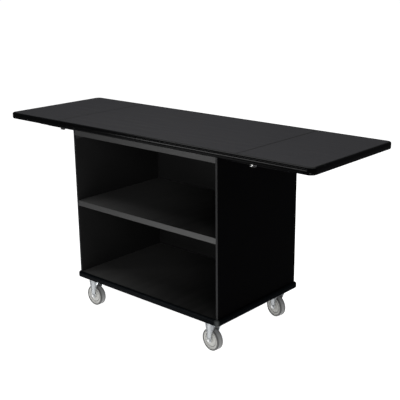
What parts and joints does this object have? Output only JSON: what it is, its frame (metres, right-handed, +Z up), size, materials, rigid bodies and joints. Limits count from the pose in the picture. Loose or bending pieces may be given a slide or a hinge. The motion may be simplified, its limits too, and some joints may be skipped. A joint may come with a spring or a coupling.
{
  "type": "room service table",
  "caption": "Drop-leaf service table: open-front black cabinet with a middle shelf and wrap-round bumper, fold-down end leaves on hinged stays, and swivel casters.",
  "frame": {"origin": "on the floor, under the middle of the top", "axes": "+Z up, -Y the open front, +X along the raised leaves to the right as seen from the front"},
  "size_m": [1.874, 0.61, 0.947],
  "materials": {
    "black_board": "black melamine-faced board, satin",
    "black_laminate": "black high-pressure laminate, fine satin",
    "edge_moulding": "black vinyl edge moulding, satin",
    "bumper_rubber": "black rubber bumper, soft sheen",
    "side_edge_band": "charcoal edge band",
    "front_edge_band": "grey edge band, satin",
    "beech_dowel": "plain beech",
    "zinc_steel": "bright zinc plated",
    "black_steel": "black powder coat",
    "wheel_hub": "pale grey moulded nylon",
    "grey_tyre": "non-marking grey rubber"
  },
  "bodies": {
    "cabinet": {"back_panel": "black_board", "base_bumper": "bumper_rubber", "bottom_board": "black_board", "cabinet_dowels": "beech_dowel", "caster_bearing_rings": "zinc_steel", "caster_kingpins": "zinc_steel", "caster_plates": "zinc_steel", "centre_board": "black_board", "centre_edge_mouldings": "edge_moulding", "centre_laminate": "black_laminate", "front_top_rail": "black_board", "hinge_fixed_halves": "zinc_steel", "hinge_pins": "zinc_steel", "left_side_panel": "black_board", "middle_shelf": "black_board", "rail_angles": "black_steel", "rear_top_rail": "black_board", "right_side_panel": "black_board", "shelf_and_rail_edge_bands": "front_edge_band", "side_edge_bands": "side_edge_band", "stay_fixed_feet": "black_steel", "stay_fixed_rivets": "black_steel"},
    "left_leaf": {"left_leaf_board": "black_board", "left_leaf_laminate": "black_laminate", "left_leaf_edge_moulding": "edge_moulding", "left_hinge_moving_halves": "zinc_steel", "left_stay_leaf_feet": "black_steel", "left_stay_leaf_rivets": "black_steel"},
    "left_stay_arm": {"left_stay_arms": "black_steel", "left_stay_finger_tabs": "zinc_steel"},
    "left_stay_link": {"left_stay_links": "black_steel"},
    "right_leaf": {"right_leaf_board": "black_board", "right_leaf_laminate": "black_laminate", "right_leaf_edge_moulding": "edge_moulding", "right_hinge_moving_halves": "zinc_steel", "right_stay_leaf_feet": "black_steel", "right_stay_leaf_rivets": "black_steel"},
    "right_stay_arm": {"right_stay_arms": "black_steel", "right_stay_finger_tabs": "zinc_steel"},
    "right_stay_link": {"right_stay_links": "black_steel"},
    "front_left_swivel": {"front_left_fork": "zinc_steel", "front_left_axle_bolt": "zinc_steel", "front_left_axle_bush": "zinc_steel"},
    "front_left_wheel": {"front_left_hub": "wheel_hub", "front_left_tyre": "grey_tyre"},
    "front_right_swivel": {"front_right_fork": "zinc_steel", "front_right_axle_bolt": "zinc_steel", "front_right_axle_bush": "zinc_steel"},
    "front_right_wheel": {"front_right_hub": "wheel_hub", "front_right_tyre": "grey_tyre"},
    "rear_left_swivel": {"rear_left_fork": "zinc_steel", "rear_left_axle_bolt": "zinc_steel", "rear_left_axle_bush": "zinc_steel"},
    "rear_left_wheel": {"rear_left_hub": "wheel_hub", "rear_left_tyre": "grey_tyre"},
    "rear_right_swivel": {"rear_right_fork": "zinc_steel", "rear_right_axle_bolt": "zinc_steel", "rear_right_axle_bush": "zinc_steel"},
    "rear_right_wheel": {"rear_right_hub": "wheel_hub", "rear_right_tyre": "grey_tyre"}
  },
  "joints": [
    {"name": "left_leaf_fold", "type": "hinge", "parent": "cabinet", "child": "left_leaf", "pos_m": [-0.5625, 0, 0.911], "axis": [0, -1, 0], "range_deg": [0, 90]},
    {"name": "left_stay_arm_fold", "type": "hinge", "parent": "cabinet", "child": "left_stay_arm", "pos_m": [-0.47, 0, 0.901], "axis": [0, -1, 0], "range_deg": [0, 81.3]},
    {"name": "left_stay_link_fold", "type": "hinge", "parent": "left_leaf", "child": "left_stay_link", "pos_m": [-0.777, 0, 0.901], "axis": [0, 1, 0], "range_deg": [0, 131.4]},
    {"name": "right_leaf_fold", "type": "hinge", "parent": "cabinet", "child": "right_leaf", "pos_m": [0.5625, 0, 0.911], "axis": [0, 1, 0], "range_deg": [0, 90]},
    {"name": "right_stay_arm_fold", "type": "hinge", "parent": "cabinet", "child": "right_stay_arm", "pos_m": [0.47, 0, 0.901], "axis": [0, 1, 0], "range_deg": [0, 81.3]},
    {"name": "right_stay_link_fold", "type": "hinge", "parent": "right_leaf", "child": "right_stay_link", "pos_m": [0.777, 0, 0.901], "axis": [0, -1, 0], "range_deg": [0, 131.4]},
    {"name": "front_left_caster_swivel", "type": "hinge", "parent": "cabinet", "child": "front_left_swivel", "pos_m": [-0.392, -0.24, 0.153], "axis": [0, 0, 1], "continuous": true},
    {"name": "front_left_wheel_spin", "type": "hinge", "parent": "front_left_swivel", "child": "front_left_wheel", "pos_m": [-0.4, -0.24, 0.052], "axis": [0, 1, 0], "continuous": true},
    {"name": "front_right_caster_swivel", "type": "hinge", "parent": "cabinet", "child": "front_right_swivel", "pos_m": [0.392, -0.24, 0.153], "axis": [0, 0, 1], "continuous": true},
    {"name": "front_right_wheel_spin", "type": "hinge", "parent": "front_right_swivel", "child": "front_right_wheel", "pos_m": [0.38406, -0.23902, 0.052], "axis": [0.1219, 0.9925, 0], "continuous": true},
    {"name": "rear_left_caster_swivel", "type": "hinge", "parent": "cabinet", "child": "rear_left_swivel", "pos_m": [-0.392, 0.24, 0.153], "axis": [0, 0, 1], "continuous": true},
    {"name": "rear_left_wheel_spin", "type": "hinge", "parent": "rear_left_swivel", "child": "rear_left_wheel", "pos_m": [-0.39997, 0.2407, 0.052], "axis": [0.0872, 0.9962, 0], "continuous": true},
    {"name": "rear_right_caster_swivel", "type": "hinge", "parent": "cabinet", "child": "rear_right_swivel", "pos_m": [0.392, 0.24, 0.153], "axis": [0, 0, 1], "continuous": true},
    {"name": "rear_right_wheel_spin", "type": "hinge", "parent": "rear_right_swivel", "child": "rear_right_wheel", "pos_m": [0.38417, 0.24166, 0.052], "axis": [0.2079, 0.9781, 0], "continuous": true}
  ],
  "couplings": [
    {"joint": "left_stay_arm_fold", "follows": "left_leaf_fold", "ratio": 0.90307},
    {"joint": "left_stay_link_fold", "follows": "left_leaf_fold", "ratio": 1.4595},
    {"joint": "right_stay_arm_fold", "follows": "right_leaf_fold", "ratio": 0.90307},
    {"joint": "right_stay_link_fold", "follows": "right_leaf_fold", "ratio": 1.4595}
  ]
}
